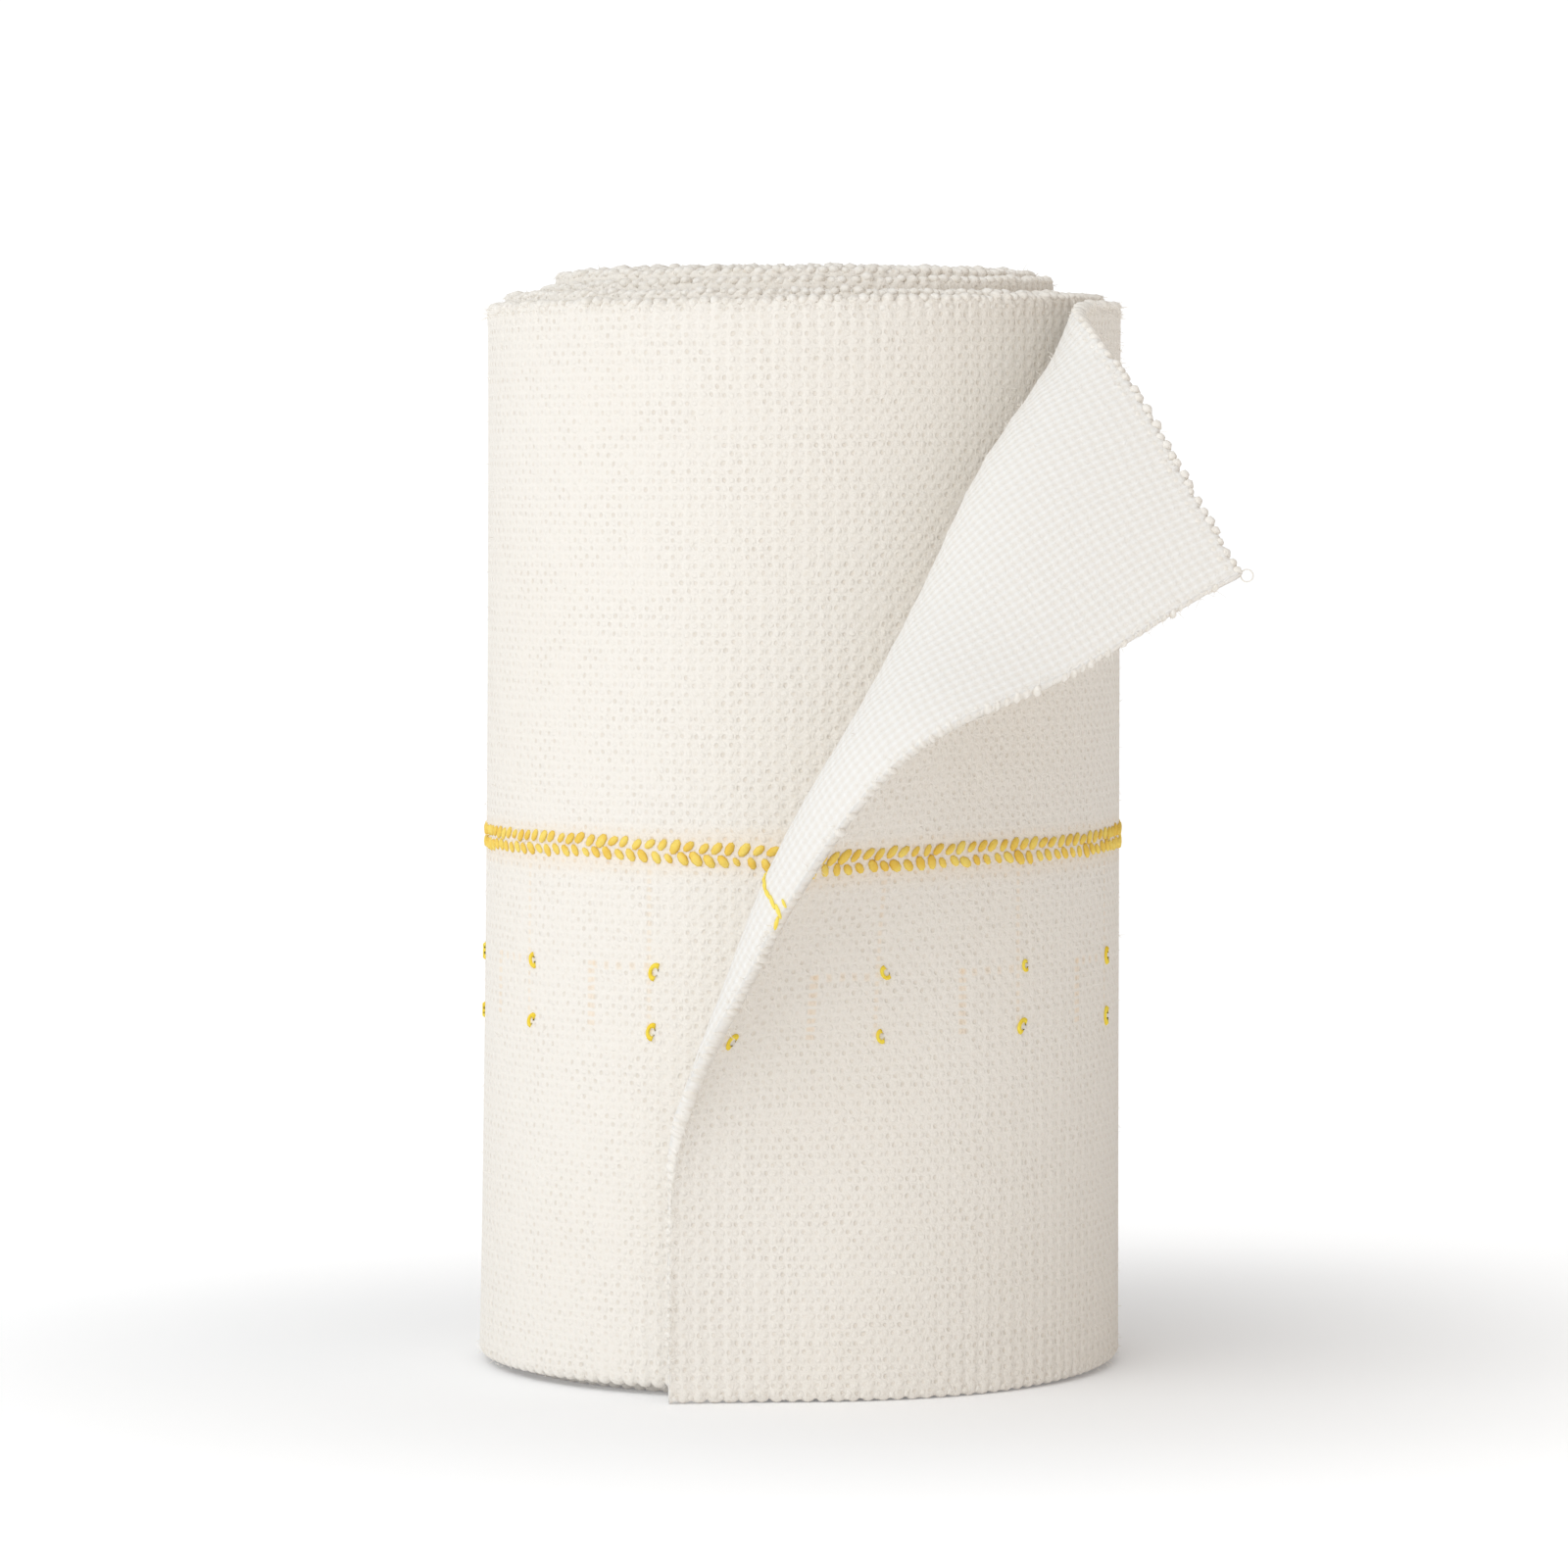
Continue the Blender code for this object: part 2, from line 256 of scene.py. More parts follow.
def new_piece(name, points, faces):
    """An object in the scene whose mesh has these points and faces."""
    mesh = bpy.data.meshes.new(name)
    mesh.from_pydata(points, [], faces)
    mesh.update()
    piece = bpy.data.objects.new(name, mesh)
    bpy.context.collection.objects.link(piece)
    return piece


def ring_places(rows, edge_points):
    """Distance from the lower edge and side (-1 inner to 1 outer) of each point round a ring."""
    half = CLOTH / 2
    angles = [math.pi / 2 * (k + 1) / edge_points for k in range(edge_points)]
    low = [(half * (1 - math.cos(a)), math.sin(a)) for a in angles]
    high = [(STRIP_WIDTH - distance, side) for distance, side in reversed(low)]
    outer = low + [(row * STRIP_WIDTH, 1.0) for row in rows] + high
    inner = [(distance, -side) for distance, side in reversed(outer)]
    return np.array([(0.0, 0.0)] + outer + [(STRIP_WIDTH, 0.0)] + inner)


def build_strip(name, start, end, steps_per_rib, rows, edge_points, half_cloth, rib_relief):
    """A closed shell of cloth between two lengths along the strip."""
    ring = ring_places(rows, edge_points)
    count = round((end - start) / RIB * steps_per_rib)
    lengths = np.linspace(start, end, count + 1)
    s = lengths[:, None] + 0 * ring[None, :, 0]
    z = ring[None, :, 0] + 0 * lengths[:, None]
    side = ring[None, :, 1] + 0 * lengths[:, None]
    wander = 0.06 * np.sin(lengths / (9.7 * MM)) + 0.05 * np.sin(lengths / (3.1 * MM) + 1)
    loop = np.abs(np.cos(math.pi * (lengths / RIB + wander))) ** 0.6
    notch = (1 - loop)[:, None]
    to_edge = np.minimum(z, STRIP_WIDTH - z)
    near = np.exp(-to_edge / EDGE_REACH)
    toward = np.where(z < STRIP_WIDTH / 2, 1.0, -1.0)
    loop_size = 1 + SCALLOP_UNEVEN * rng.standard_normal(count + 1)[:, None] * near
    shift = toward * notch * near * SCALLOP_DEPTH * loop_size
    thin = 1 - NOTCH_THINNING * notch * near
    rib = (loop - 0.6)[:, None] * rib_relief * np.clip(side, 0, 1)
    offset = side * half_cloth * thin + rib * (0.5 + np.exp(-to_edge / RIB_FADE))
    places, _ = on_strip(s, (z + shift) / STRIP_WIDTH, offset)
    places[..., 2] = np.maximum(places[..., 2], 0)
    points = ring.shape[0]
    half = points // 2
    grid = np.arange(places.shape[0] * points).reshape(-1, points)
    after = np.roll(grid, -1, axis=1)
    faces = np.stack([grid[:-1], grid[1:], after[1:], after[:-1]], -1).reshape(-1, 4).tolist()
    for caps, flip in ((grid[0], False), (grid[-1], True)):
        for k in range(half):
            cell = [caps[k], caps[k + 1], caps[(points - k - 1) % points], caps[-k]]
            cell = list(dict.fromkeys(int(v) for v in cell))
            faces.append(cell[::-1] if flip else cell)
    piece = new_piece(name, places.reshape(-1, 3).tolist(), faces)
    mesh = piece.data
    uv = mesh.uv_layers.new(name="cloth")
    corner = np.empty(len(mesh.loops), dtype=np.int32)
    mesh.loops.foreach_get("vertex_index", corner)
    flat = np.stack([s.ravel(), z.ravel()], -1)[corner]
    uv.data.foreach_set("uv", flat.ravel())
    reverse = mesh.attributes.new("reverse", "FLOAT", "POINT")
    reverse.data.foreach_set("value", np.clip(0.5 - side.ravel() * 2, 0, 1))
    mesh.shade_smooth()
    mesh.update()
    triangles = sum(len(p.vertices) - 2 for p in mesh.polygons)
    print(name, count + 1, "rings,", triangles, "triangles")
    return piece


# %% The strip in two pieces
JOIN = length_at(1.45)
FINE_ROWS = np.concatenate([[0.012, 0.02], np.linspace(0.035, 0.965, 29), [0.98, 0.988]])
CORE_ROWS = [0.02, 0.98]
outer = build_strip("knit_outer", 0.0, JOIN, 6, FINE_ROWS, 4, CLOTH / 2, 0.07 * MM)
core = build_strip("knit_core", JOIN, STRIP_LENGTH, 4, CORE_ROWS, 3, 0.72 * MM, 0.05 * MM)
for piece in (outer, core):
    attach(piece, "root")
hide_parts("free_end", "wound_roll")
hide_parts("wound_roll")

# %% [markdown]
# ## The yellow line
# Along the middle of the cloth runs a knitted yellow line: two rows of small leaf-shaped stitches
# that lean towards each other like the grain of a plait. One stitch is a low sphere with a few
# faces, stretched and slanted. It is copied along the strip, and each copy's points are placed on
# the cloth, so that the line follows the roll and the fold.

# %% One stitch, and how copies are laid on the cloth
def primitive_points(piece):
    """Points and faces of a small shape that is used as a pattern, which is then removed."""
    points = np.array([v.co[:] for v in piece.data.vertices])
    faces = [tuple(p.vertices) for p in piece.data.polygons]
    bpy.data.objects.remove(piece, do_unlink=True)
    return points, faces


def small_ball(size, lying):
    """A low sphere stretched to a size, its poles along the strip if it is lying."""
    bpy.ops.object.select_all(action="DESELECT")
    bpy.ops.mesh.primitive_uv_sphere_add(segments=6, ring_count=4, radius=0.5)
    ball = bpy.context.object
    bpy.ops.object.mode_set(mode="EDIT")
    bpy.ops.mesh.select_all(action="SELECT")
    if lying:
        bpy.ops.transform.rotate(value=math.pi / 2, orient_axis="Y", center_override=(0, 0, 0))
    bpy.ops.transform.resize(value=size, center_override=(0, 0, 0))
    bpy.ops.object.mode_set(mode="OBJECT")
    return primitive_points(ball)


def lay_copies(name, pattern, faces, copies, height):
    """One mesh of many copies of a pattern, each given as (length, width place, turn, size)."""
    all_points, all_faces = [], []
    for length, across, turn, size in copies:
        c, d = math.cos(turn), math.sin(turn)
        x = (pattern[:, 0] * c - pattern[:, 1] * d) * size
        y = (pattern[:, 0] * d + pattern[:, 1] * c) * size
        places, _ = on_strip(length + x, (across + y) / STRIP_WIDTH, height + pattern[:, 2])
        first = sum(len(points) for points in all_points)
        places[:, 2] = np.maximum(places[:, 2], 0)
        all_points.append(places)
        all_faces += [tuple(first + v for v in face) for face in faces]
    piece = new_piece(name, np.concatenate(all_points).tolist(), all_faces)
    bpy.ops.object.select_all(action="DESELECT")
    piece.select_set(True)
    bpy.context.view_layer.objects.active = piece
    bpy.ops.object.mode_set(mode="EDIT")
    bpy.ops.mesh.select_all(action="SELECT")
    bpy.ops.mesh.normals_make_consistent(inside=False)
    bpy.ops.object.mode_set(mode="OBJECT")
    bpy.ops.object.shade_smooth()
    print(name, len(copies), "copies,", len(piece.data.polygons), "faces")
    return piece


LEAF_SIZE = (1.38 * MM, 0.82 * MM, 0.46 * MM)
leaf_points, leaf_faces = small_ball(LEAF_SIZE, lying=True)
print("leaf", np.round(np.ptp(leaf_points, axis=0) / MM, 2), "mm")

# %% Two rows of stitches along the strip
LINE_TABLE = (  # turns from the cut end, height of the line in millimetres
    (0.0, 49.4), (0.09, 49.55), (0.19, 49.6), (0.285, 49.9), (0.81, 49.85), (0.95, 50.0),
    (1.0, 49.65), (1.05, 49.3), (1.45, 49.5),
)


def place_across(length, height):
    """Where across the cloth a height above the floor is, for the wound strip."""
    low, _, _ = on_roll(np.array(length), np.array(0.0))
    high, _, _ = on_roll(np.array(length), np.array(1.0))
    return (height - low[2]) / (high[2] - low[2]) * STRIP_WIDTH


STITCH = 1.27 * MM
STITCH_FIRST = 0.9 * MM
STITCH_ROW = 0.60 * MM
STITCH_SLANT = math.radians(50)
line_copies = []
for k in range(int(JOIN / STITCH)):
    length = STITCH_FIRST + k * STITCH
    middle = place_across(length, float(table_value(LINE_TABLE, 1, turn_at(length))) * MM)
    for row in (1, -1):
        jitter = rng.standard_normal(4)
        line_copies.append((
            length + (0.0 if row > 0 else 0.5 * STITCH) + 0.05 * MM * jitter[0],
            middle + row * STITCH_ROW + 0.06 * MM * jitter[1],
            row * STITCH_SLANT + 0.15 * jitter[2],
            1 + 0.10 * jitter[3],
        ))
line_stitches = lay_copies(
    "line_stitches", leaf_points, leaf_faces, line_copies, CLOTH / 2 + 0.06 * MM
)
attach(line_stitches, "root")
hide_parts("centre_line")

# %% The line's thin back, where the cut end turns over
BACK_HEIGHT = LINE_TABLE[0][1] * MM
BACK_FIRST, BACK_STEP = 0.3 * MM, 0.95 * MM
thin_leaf = leaf_points * np.array([1.0, 0.6, 0.8])
thread_copies = []
for k in range(9):
    length = BACK_FIRST + BACK_STEP * k
    across = place_across(length, BACK_HEIGHT) + 0.1 * MM * rng.standard_normal()
    thread_copies.append((length, across, 0.2 * rng.standard_normal(), 0.95))
at_end = place_across(0.0, BACK_HEIGHT)
thread_copies += [(-0.1 * MM, at_end - 0.7 * MM, 1.3, 0.9), (0.2 * MM, at_end + 1.1 * MM, 0.2, 0.6)]
line_back = lay_copies(
    "line_back", thin_leaf, leaf_faces, thread_copies, -CLOTH / 2 - 0.05 * MM
)
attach(line_back, "root")

# %% [markdown]
# ## The stretch marks
# Every centimetre and a half a pair of bright curved stitches marks how far the bandage is
# stretched. Each is a short loop of yarn, open to one side. A ring is made with few segments, a
# third of it is cut away, and the ends are closed. Copies go in pairs along the strip.

# %% One open loop of yarn
MARK_STEP = 14.8 * MM
MARK_FIRST = 3.6 * MM
MARK_OFFSET = 0.7 * MM
MARK_HEIGHTS = (38.9 * MM, 33.4 * MM)
MARK_RADIUS, MARK_YARN = 0.58 * MM, 0.24 * MM
bpy.ops.object.select_all(action="DESELECT")
bpy.ops.mesh.primitive_torus_add(
    major_segments=14, minor_segments=5, major_radius=MARK_RADIUS, minor_radius=MARK_YARN
)
loop = bpy.context.object
bpy.ops.object.mode_set(mode="EDIT")
bpy.ops.mesh.select_all(action="SELECT")
bpy.ops.transform.resize(value=(0.85, 1.15, 0.9), center_override=(0, 0, 0))
bpy.ops.mesh.bisect(
    plane_co=(0.2 * MM, 0, 0), plane_no=(1, 0, 0), clear_outer=True, use_fill=True
)
bpy.ops.object.mode_set(mode="OBJECT")
loop_points, loop_faces = primitive_points(loop)
mark_copies = []
for k in range(int((JOIN - MARK_FIRST) / MARK_STEP) + 1):
    for height in MARK_HEIGHTS:
        jitter = rng.standard_normal(4)
        mark_copies.append((
            MARK_FIRST + MARK_OFFSET + k * MARK_STEP + 0.2 * MM * jitter[0],
            place_across(MARK_FIRST + k * MARK_STEP, height) + 0.15 * MM * jitter[1],
            0.35 * jitter[2],
            0.92 + 0.12 * jitter[3],
        ))
stretch_marks = lay_copies(
    "stretch_marks", loop_points, loop_faces, mark_copies, CLOTH / 2 + 0.05 * MM
)
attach(stretch_marks, "root")

# %% [markdown]
# ## The looped selvedges
# Along the edges the knitting yarn turns back in small round puffs, which show as a bumpy rim on
# every turn. One puff is a low sphere with few faces. Two rows of copies run along the upper edge,
# one along the lower edge of the turns that show, and one of smaller puffs along the cut end.

# %% Puffs of yarn along the edges
PUFF_SIZE = (1.2 * MM, 1.0 * MM, 1.5 * MM)
puff_points, puff_faces = small_ball(PUFF_SIZE, lying=False)


def puff_row(step, from_length, to_length, across, spread):
    """Places for one row of puffs."""
    row = []
    for length in np.arange(from_length, to_length, step):
        jitter = rng.standard_normal(4)
        row.append((
            length + 0.12 * step * jitter[0],
            across + spread * jitter[1],
            0.3 * jitter[2],
            0.95 + 0.1 * jitter[3],
        ))
    return row


TOP_LOOP = 1.12 * MM
FOOT_LOOP = 1.42 * MM
CUT_LOOP = 0.86  # in millimetres
top_rows = puff_row(TOP_LOOP, 0.4 * MM, STRIP_LENGTH - 6 * MM, 99.75 * MM, 0.09 * MM)
top_rows += puff_row(TOP_LOOP, 0.9 * MM, length_at(8), 98.95 * MM, 0.08 * MM)
foot_rows = puff_row(FOOT_LOOP, 0.4 * MM, length_at(3.2), 0.62 * MM, 0.03 * MM)
top_loops = lay_copies("top_loops", puff_points, puff_faces, top_rows, 0.0)
foot_loops = lay_copies("foot_loops", puff_points, puff_faces, foot_rows, 0.0)
cut_places = np.arange(2.0, 98.0, CUT_LOOP) * MM
cut_row = [
    (0.15 * MM + 0.1 * MM * rng.standard_normal(), across, 0.4 * rng.standard_normal(),
     0.68 + 0.1 * rng.standard_normal())
    for across in cut_places
]
cut_loops = lay_copies("cut_loops", puff_points, puff_faces, cut_row, 0.0)
for piece in (top_loops, foot_loops, cut_loops):
    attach(piece, "root")

# %% [markdown]
# ## Loose fibres
# Cotton yarn is hairy. Thousands of fine fibres stand out from the rims, the cut end and the faces
# of the cloth, and soften the outline. Each is a thin three-sided spike with a bend in it. They
# are placed with a seeded random generator, so the lesson gives the same result every time.

# %% Fibres on the edges and faces
FIBRE_THICKNESS = 0.035 * MM
FIBRE_CORNERS = (0, 2.1, 4.2)  # directions of the three sides, in radians
FIBRE_RINGS = ((0.0, 1.0), (0.35, 0.85), (0.7, 0.6))  # share of the length, share of the width


def fibre_shape(root, heading, bend, size):
    """Points of one bent spike that starts at root."""
    side = np.cross(heading, [0.3, 0.5, 0.81])
    side = side / np.linalg.norm(side)
    up = np.cross(heading, side)
    points = []
    for share, width in FIBRE_RINGS:
        centre = root + heading * size * share + bend * size * share**2
        for corner in FIBRE_CORNERS:
            swing = side * math.cos(corner) + up * math.sin(corner)
            points.append(centre + swing * FIBRE_THICKNESS * width)
    points.append(root + heading * size + bend * size)
    return points


def fibre_faces(first):
    """Faces of one spike whose points start at first."""
    faces = [(first + 2, first + 1, first)]
    for ring in (0, 3):
        for k in range(3):
            a, b = first + ring + k, first + ring + (k + 1) % 3
            faces.append((a, b, b + 3, a + 3))
    faces += [(first + 6 + k, first + 6 + (k + 1) % 3, first + 9) for k in range(3)]
    return faces


fibre_points, fibre_polygons = [], []
FIBRE_ZONES = (  # how many, lengths from and to, width places from and to, longest
    (700, 0.0, length_at(1.1), 0.990, 1.0, 1.1 * MM),
    (700, length_at(1.1), length_at(6.0), 0.994, 1.0, 0.9 * MM),
    (700, 0.0, 0.4 * MM, 0.02, 0.98, 1.2 * MM),
    (300, 0.0, length_at(1.05), 0.0, 0.012, 0.6 * MM),
    (600, length_at(0.12), length_at(0.3), 0.85, 1.0, 1.0 * MM),
    (2600, 0.0, length_at(1.2), 0.02, 0.98, 0.6 * MM),
)
for amount, from_length, to_length, from_share, to_share, longest in FIBRE_ZONES:
    lengths = rng.uniform(from_length, to_length, amount)
    shares = rng.uniform(from_share, to_share, amount)
    faces_out = rng.uniform(size=amount) < 0.8
    roots, outwards = on_strip(lengths, shares, np.where(faces_out, 0.5, -0.5) * CLOTH)
    for root, outward, out in zip(roots, outwards, faces_out):
        heading = outward * (0.5 if out else -0.5) + rng.standard_normal(3) * 0.7
        heading = heading / np.linalg.norm(heading)
        bend = rng.standard_normal(3) * 0.35
        size = longest * rng.uniform(0.4, 1.0)
        points = fibre_shape(root, heading, bend, size)
        if min(point[2] for point in points) >= 0:
            fibre_polygons += fibre_faces(len(fibre_points))
            fibre_points += points
loose_fibres = new_piece("loose_fibres", np.array(fibre_points).tolist(), fibre_polygons)
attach(loose_fibres, "root")
print("fibres:", len(fibre_points) // len(points))

# %% Thread loop at the folded corner
bpy.ops.object.select_all(action="DESELECT")
loop_centre = tip + np.array([0.45 * MM, 0, -0.1 * MM])
bpy.ops.curve.primitive_bezier_circle_add(
    radius=0.55 * MM, location=loop_centre, rotation=(math.radians(80), 0, 0)
)
thread = bpy.context.object
thread.name = "corner_thread"
thread.data.bevel_depth = 0.07 * MM
thread.data.bevel_resolution = 1
thread.data.resolution_u = 6
bpy.ops.object.convert(target="MESH")
bpy.ops.object.transform_apply(location=True, rotation=True, scale=True)
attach(thread, "root")
print("thread faces:", len(thread.data.polygons))

# %% Flat lengths of the two pieces of the strip
STRIP_LENGTH - JOIN
print("flat lengths:", round(JOIN, 3), round(STRIP_LENGTH - JOIN, 3), "m")

# %% [markdown]
# ## Writing materials as sums
# A knit is a pattern of waves: one along the strip, one across it. Shader nodes can do such sums,
# but a tree of Math nodes is hard to read. A small class wraps a socket, so that a sum written in
# Python adds the nodes by itself.

# %% A socket that can be added and multiplied
MIX_FACTOR, MIX_FIRST, MIX_SECOND, MIX_RESULT = 0, 6, 7, 2  # a Mix node's colour sockets
OBJECT_PLACE = 3  # a Texture Coordinate node's Object output
ATTRIBUTE_NUMBER = 2  # an Attribute node's Factor output


class Wave:
    """A number that varies over a surface."""

    def __init__(self, finish, socket):
        self.finish = finish
        self.socket = socket

    def sum(self, operation, *values):
        sockets = {k: value for k, value in enumerate(values)}
        return self.finish.node("ShaderNodeMath", {"operation": operation}, sockets)[0]

    def __add__(self, other):
        return self.sum("ADD", self, other)

    __radd__ = __add__

    def __sub__(self, other):
        return self.sum("SUBTRACT", self, other)

    def __rsub__(self, other):
        return self.sum("SUBTRACT", other, self)

    def __mul__(self, other):
        return self.sum("MULTIPLY", self, other)

    __rmul__ = __mul__

    def cos(self):
        return self.sum("COSINE", self)

    def wrap(self, step):
        return self.sum("FLOORED_MODULO", self, step)

    def size(self):
        return self.sum("ABSOLUTE", self)

    def step(self, low, high):
        """0 at low, 1 at high, a soft step between."""
        settings = {"interpolation_type": "SMOOTHSTEP"}
        sockets = {"Value": self, "From Min": low, "From Max": high}
        return self.finish.node("ShaderNodeMapRange", settings, sockets)[0]

    def band(self, centre, half, soft):
        """1 within half of centre, falling to 0 over soft."""
        return 1 - (self - centre).size().step(half, half + soft)


class Finish:
    """A material and the nodes in it."""

    def __init__(self, name, roughness):
        self.material = bpy.data.materials.new(name)
        self.material.use_nodes = True
        self.tree = self.material.node_tree
        self.shader = self.tree.nodes["Principled BSDF"]
        self.shader.inputs["Roughness"].default_value = roughness

    def node(self, kind, settings=None, sockets=None):
        """Any node: its settings first, then the values or links of its sockets."""
        made = self.tree.nodes.new(kind)
        for key, value in (settings or {}).items():
            setattr(made, key, value)
        for key, value in (sockets or {}).items():
            self.feed(made.inputs[key], value)
        return [Wave(self, output) for output in made.outputs]

    def feed(self, socket, value):
        if isinstance(value, Wave):
            self.tree.links.new(value.socket, socket)
        else:
            socket.default_value = value

    def mix(self, factor, first, second):
        """A colour between two, by a factor that varies."""
        sockets = {MIX_FACTOR: factor, MIX_FIRST: first, MIX_SECOND: second}
        return self.node("ShaderNodeMix", {"data_type": "RGBA"}, sockets)[MIX_RESULT]

    def noise(self, place, scale, detail=2.0):
        sockets = {"Vector": place, "Scale": scale, "Detail": detail}
        return self.node("ShaderNodeTexNoise", {}, sockets)[0]

    def wear(self, piece):
        piece.data.materials.clear()
        piece.data.materials.append(self.material)


# %% [markdown]
# ## The knitted cloth
# The outer face is a tight knit: rows of small holes, each row shifted by half a hole, with warm
# painted shade in each. The back of the cloth is whiter, with thin cords that run across the strip
# and painted shade between them. The same sums give the colour and the height for the bump, so the
# painted shade sits in the dips. The pattern reads the cloth's own map, which is in metres along
# and across the strip. The sums turn that into millimetres first, because the knit's steps are a
# millimetre or so.

# %% The cloth's finish
FULL = 2 * math.pi
KNIT_ALONG, KNIT_ACROSS = 1.35, 1.56  # steps of the outer knit, in millimetres
CORD, CELL = 0.72, 0.85  # steps of the back's cords and of the cells in them
knit = Finish("cream_knit", 0.92)
knit.shader.inputs["Specular IOR Level"].default_value = 0.25
knit.shader.inputs["Sheen Weight"].default_value = 0.12
knit.shader.inputs["Sheen Roughness"].default_value = 0.6
cloth_map = knit.node("ShaderNodeUVMap", {"uv_map": "cloth"})[0]
reverse = knit.node("ShaderNodeAttribute", {"attribute_name": "reverse"})[ATTRIBUTE_NUMBER]
object_place = knit.node("ShaderNodeTexCoord")[OBJECT_PLACE]
u_raw, v_raw, _ = knit.node("ShaderNodeSeparateXYZ", {}, {0: cloth_map})
wobble = knit.noise(cloth_map, 420.0, 1.0) - 0.5
sway = knit.noise(cloth_map, 130.0, 1.0) - 0.5
u = u_raw * 1000 + wobble * 0.7 + sway * 0.9
v = v_raw * 1000 + wobble * 0.45
lattice = (u * (FULL / KNIT_ALONG)).cos() * (v * (FULL / KNIT_ACROSS)).cos()
open_places = knit.noise(cloth_map, 330.0, 2.0).step(0.35, 0.65)
holes = lattice.step(0.45, 1.0) * (0.35 + open_places * 0.65)
knots = (lattice * -1).step(0.2, 1.0)
ribs = (u * (FULL / KNIT_ALONG)).cos() * 0.5 + 0.5
hair = knit.noise(cloth_map, 5200.0, 3.0)
cords = (u_raw * (1000 * FULL / CORD) + wobble * 1.1).cos() * 0.5 + 0.5
cells = (v * (FULL / CELL) + sway * 2).cos() * 0.5 + 0.5
patches = knit.noise(object_place, 55.0, 2.0).step(0.3, 0.7)
mottle = knit.noise(cloth_map, 900.0, 2.0).step(0.35, 0.75)
print("knit pattern made")

# %% Peach threads beside the yellow line and round the stretch marks
LINE_MIDDLE = 49.5  # across the cloth, in millimetres
mark = (u_raw * 1000 - MARK_FIRST / MM).wrap(MARK_STEP / MM)
row_dots = (v * (FULL / KNIT_ACROSS)).cos().size().step(0.3, 0.9)
stitch_dots = (u * (FULL / KNIT_ALONG)).cos().step(-0.2, 0.8)
between = v.band(36.15, 2.9, 0.4)  # middle, half height and soft edge, in millimetres
up_to_line = v.band(41.2, 8.1, 0.5)
left_side = mark.band(8.6, 0.25, 0.3) * between * row_dots
beside_pair = (1 - mark.band(7.4, 7.05, 0.3)) * up_to_line * row_dots
top_side = mark.band(11.7, 3.1, 0.3) * v.band(38.9, 0.22, 0.3) * stitch_dots
frame_threads = (left_side + beside_pair * 0.8 + top_side * 0.7) * (1 - reverse)
halo = v.band(LINE_MIDDLE, 1.0, 1.9) * (0.35 + holes * 0.65) * (1 - reverse)
print("thread pattern made")

# %% Colour and relief of the cloth
CREAM = (0.895, 0.853, 0.79, 1)
WARM_CREAM = (0.88, 0.825, 0.745, 1)
# Painted shade for the holes of the knit, darker than the cloth:
HOLE_PAINTED_SHADE = (0.66, 0.55, 0.42, 1)
REVERSE_WHITE = (0.90, 0.885, 0.855, 1)
# Painted shade for the dips between the back's cords:
REVERSE_PAINTED_SHADE = (0.78, 0.72, 0.64, 1)
PEACH = (0.90, 0.66, 0.40, 1)
face = knit.mix(patches * 0.25 + mottle * 0.25, CREAM, WARM_CREAM)
# Painted shade: the knit's holes are darkened, standing in for the shade inside them.
face = knit.mix(holes * 0.34, face, HOLE_PAINTED_SHADE)
# Painted shade: the back is darkened between its cords and cells, standing in for the shade in
# those dips.
back = knit.mix((1 - cords) * 0.34 + (1 - cells) * 0.24, REVERSE_WHITE, REVERSE_PAINTED_SHADE)
colour = knit.mix(reverse, face, back)
colour = knit.mix(frame_threads * 0.30, colour, PEACH)
colour = knit.mix(halo * 0.5, colour, PEACH)
outer_relief = knots * 0.10 - holes * 0.12 + ribs * 0.04
back_relief = cords * 0.08 + cells * 0.05
relief = outer_relief * (1 - reverse) + back_relief * reverse + hair * 0.11
bump = knit.node("ShaderNodeBump", {}, {"Strength": 0.7, "Distance": MM, "Height": relief})[0]
knit.feed(knit.shader.inputs["Base Color"], colour)
knit.feed(knit.shader.inputs["Normal"], bump)
knit.wear(outer)
knit.wear(core)
print("knit nodes:", len(knit.tree.nodes))

# %% Yarn finishes
def yarn(name, light, deep, grain):
    """A matt twisted yarn: two tones and fine strands, by Object coordinates."""
    finish = Finish(name, 0.88)
    finish.shader.inputs["Specular IOR Level"].default_value = 0.25
    place = finish.node("ShaderNodeTexCoord")[OBJECT_PLACE]
    tone = finish.noise(place, grain, 2.0).step(0.3, 0.7)
    strands = finish.noise(place, grain * 4, 2.0)
    colour = finish.mix(tone, light, deep)
    bump = finish.node(
        "ShaderNodeBump", {}, {"Strength": 0.6, "Distance": MM, "Height": strands * 0.12}
    )[0]
    finish.feed(finish.shader.inputs["Base Color"], colour)
    finish.feed(finish.shader.inputs["Normal"], bump)
    return finish


yarn("golden_yarn", (0.93, 0.72, 0.17, 1), (0.87, 0.57, 0.09, 1), 700.0).wear(line_stitches)
yarn("lemon_yarn", (0.97, 0.80, 0.16, 1), (0.92, 0.70, 0.10, 1), 700.0).wear(line_back)
yarn("bright_yellow_yarn", (0.97, 0.79, 0.10, 1), (0.92, 0.66, 0.05, 1), 700.0).wear(stretch_marks)
pale = yarn("pale_cotton", (0.905, 0.87, 0.815, 1), (0.87, 0.825, 0.755, 1), 900.0)
for piece in (loose_fibres, top_loops, foot_loops, cut_loops, thread):
    pale.wear(piece)
print("materials:", len(bpy.data.materials))
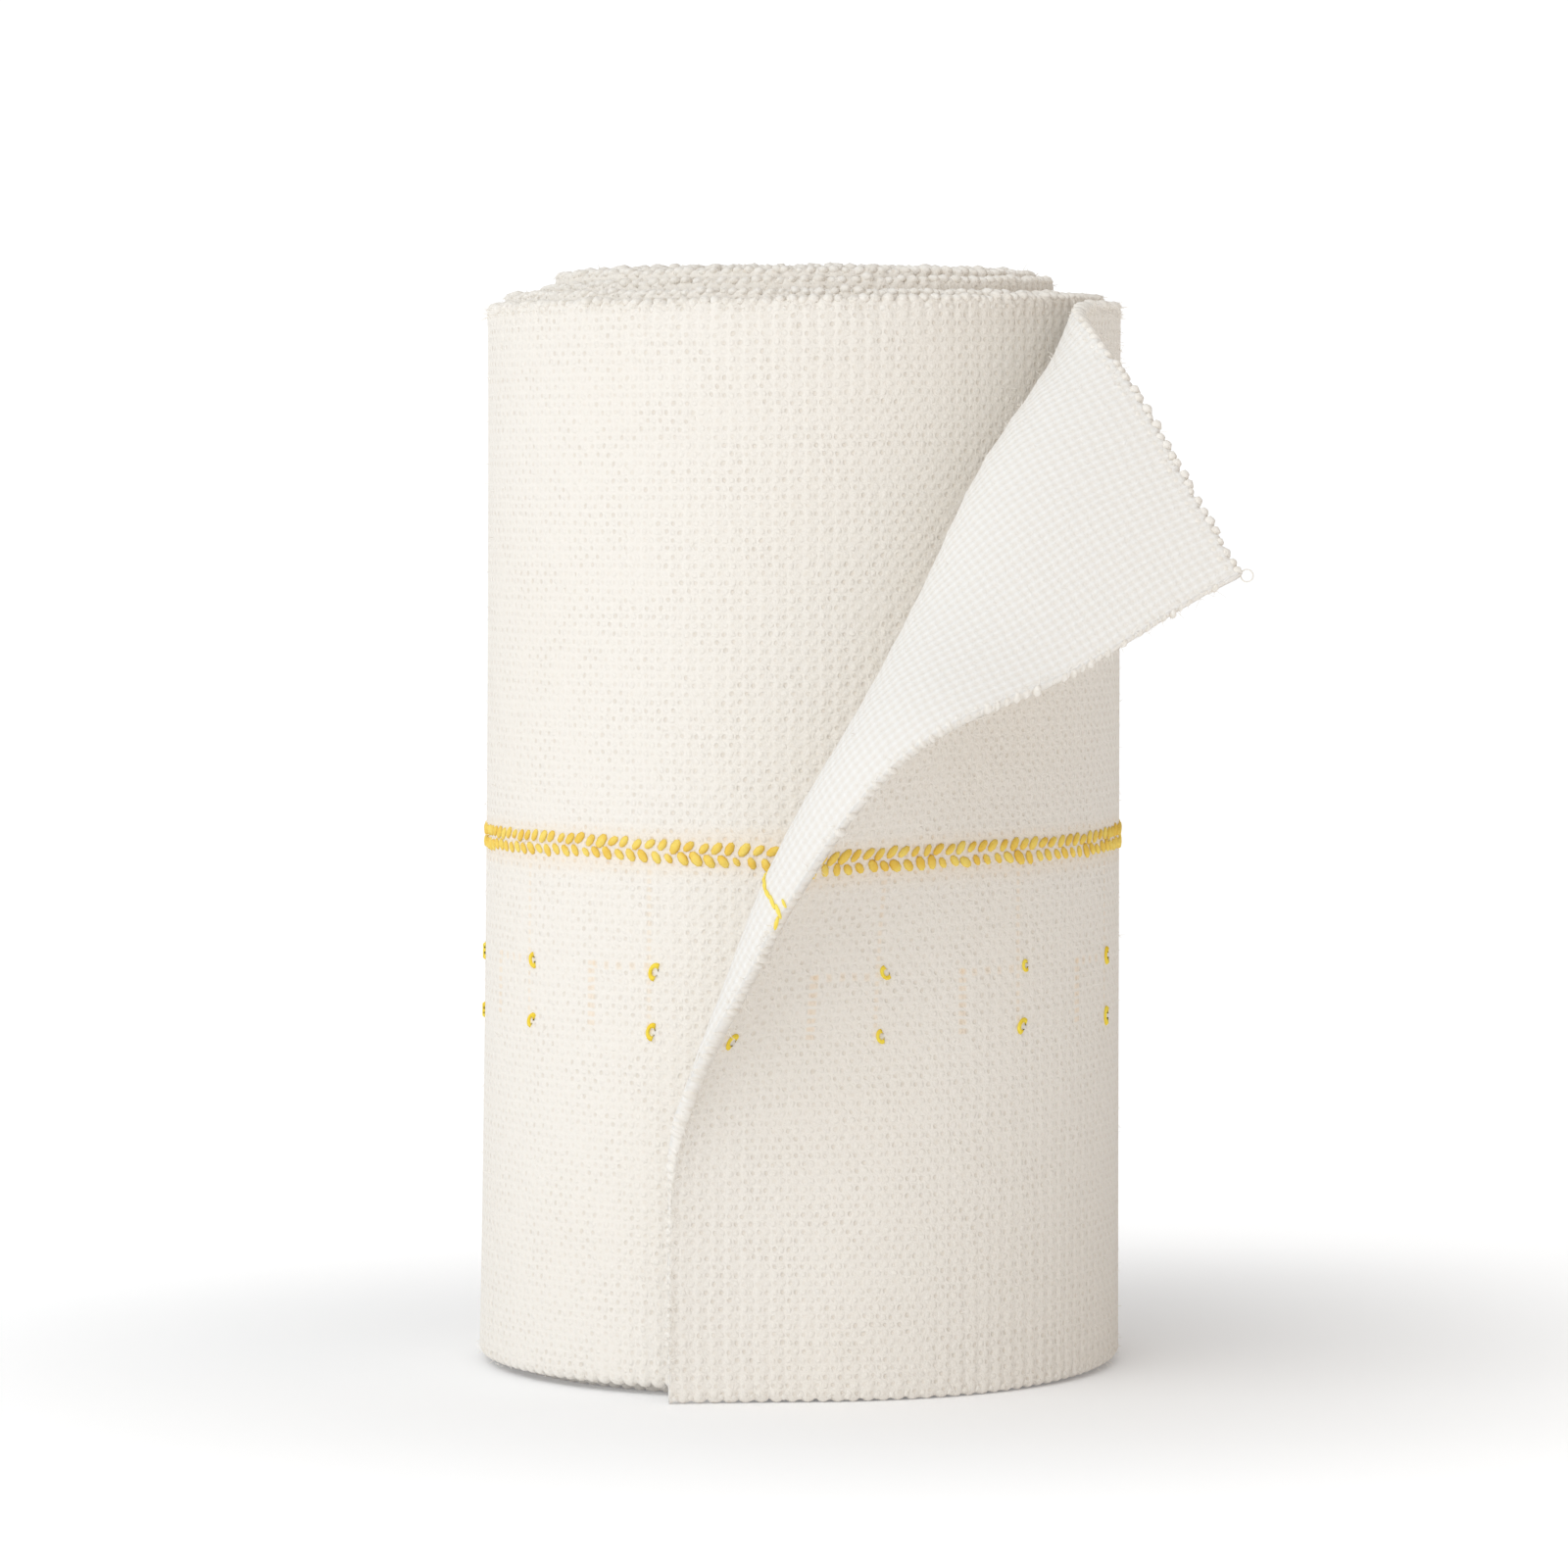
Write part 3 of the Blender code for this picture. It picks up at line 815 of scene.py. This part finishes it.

# %% [markdown]
# ## Floor and light
# The roll stands on a plain white floor that runs out to white. The floor glows a little, less so
# round the roll, which paints shade on the floor there. The light is a dome that is bright at the
# upper left and dim and warm opposite, a broad soft sun from the same side, and a weak warm lamp at
# the right.

# %% Floor
GLOW_NEAR, GLOW_FAR = 0.03, 0.12  # distances from the axis, in metres
bpy.ops.object.select_all(action="DESELECT")
bpy.ops.mesh.primitive_plane_add(size=40)
floor = bpy.context.object
floor.name = "floor"
paper = Finish("white_paper", 0.9)
paper.shader.inputs["Base Color"].default_value = (0.9, 0.9, 0.9, 1)
paper.shader.inputs["Emission Strength"].default_value = 0.36
floor_place = paper.node("ShaderNodeTexCoord")[OBJECT_PLACE]
from_roll = paper.node("ShaderNodeVectorMath", {"operation": "LENGTH"}, {0: floor_place})[1]
# Painted shade: the floor's glow falls to grey near the roll, standing in for the shade round its
# foot.
glow_with_painted_shade = paper.mix(from_roll.step(GLOW_NEAR, GLOW_FAR), (0.30, 0.30, 0.31, 1), (1, 1, 1, 1))
paper.feed(paper.shader.inputs["Emission Color"], glow_with_painted_shade)
paper.shader.inputs["Specular IOR Level"].default_value = 0.1
paper.wear(floor)

# %% World and lights
DOME_DIRECTION = (-0.62, -0.22, 0.75)
DOME_DIM = (0.09, 0.055, 0.02, 1)
DOME_BRIGHT = (0.72, 0.73, 0.74, 1)
DOME_SOFTNESS = 0.9
WHITE_BEHIND = 1.1
SUN_POWER = 0.95
SUN_BREADTH = math.radians(50)
SUN_TURN = (math.radians(52), 0, math.radians(-33))
world = bpy.data.worlds.new("studio")
bpy.context.scene.world = world
world.use_nodes = True
links = world.node_tree.links.new


def world_node(kind):
    return world.node_tree.nodes.new(kind)


toward_light = world_node("ShaderNodeVectorMath")
toward_light.operation = "DOT_PRODUCT"
toward_light.inputs[1].default_value = DOME_DIRECTION
links(world_node("ShaderNodeTexCoord").outputs["Generated"], toward_light.inputs[0])
blend = world_node("ShaderNodeMapRange")
blend.interpolation_type = "SMOOTHSTEP"
blend.inputs["From Min"].default_value = -DOME_SOFTNESS
blend.inputs["From Max"].default_value = DOME_SOFTNESS
links(toward_light.outputs["Value"], blend.inputs["Value"])
dome = world_node("ShaderNodeMix")
dome.data_type = "RGBA"
dome.inputs[MIX_FIRST].default_value = DOME_DIM
dome.inputs[MIX_SECOND].default_value = DOME_BRIGHT
links(blend.outputs["Result"], dome.inputs[MIX_FACTOR])
sky = world.node_tree.nodes["Background"]
links(dome.outputs[MIX_RESULT], sky.inputs["Color"])
bright = world_node("ShaderNodeBackground")
bright.inputs["Color"].default_value = (1, 1, 1, 1)
bright.inputs["Strength"].default_value = WHITE_BEHIND
choose = world_node("ShaderNodeMixShader")
links(world_node("ShaderNodeLightPath").outputs["Is Camera Ray"], choose.inputs[0])
links(sky.outputs[0], choose.inputs[1])
links(bright.outputs[0], choose.inputs[2])
links(choose.outputs[0], world.node_tree.nodes["World Output"].inputs[0])


def soft_light(name, place, aim, size, power, colour):
    """A square area light that points at aim."""
    data = bpy.data.lights.new(name, "AREA")
    data.size = size
    data.energy = power
    data.color = colour
    lamp = bpy.data.objects.new(name, data)
    lamp.location = place
    away = np.array(place) - np.array(aim)
    flat = math.hypot(away[0], away[1])
    turn = math.atan2(away[1], away[0]) + math.pi / 2
    lamp.rotation_euler = (math.atan2(flat, away[2]), 0, turn)
    bpy.context.collection.objects.link(lamp)


key = bpy.data.lights.new("key", "SUN")
key.energy = SUN_POWER
key.angle = SUN_BREADTH
key.color = (0.97, 0.99, 1.0)
key_lamp = bpy.data.objects.new("key", key)
key_lamp.rotation_euler = SUN_TURN
bpy.context.collection.objects.link(key_lamp)
soft_light("fill", (1.1, -0.5, 0.5), (0, 0, 0.05), 0.8, 0.75, (1.0, 0.64, 0.34))
bpy.context.scene.view_settings.view_transform = "Standard"
print("lights:", len(bpy.data.lights))
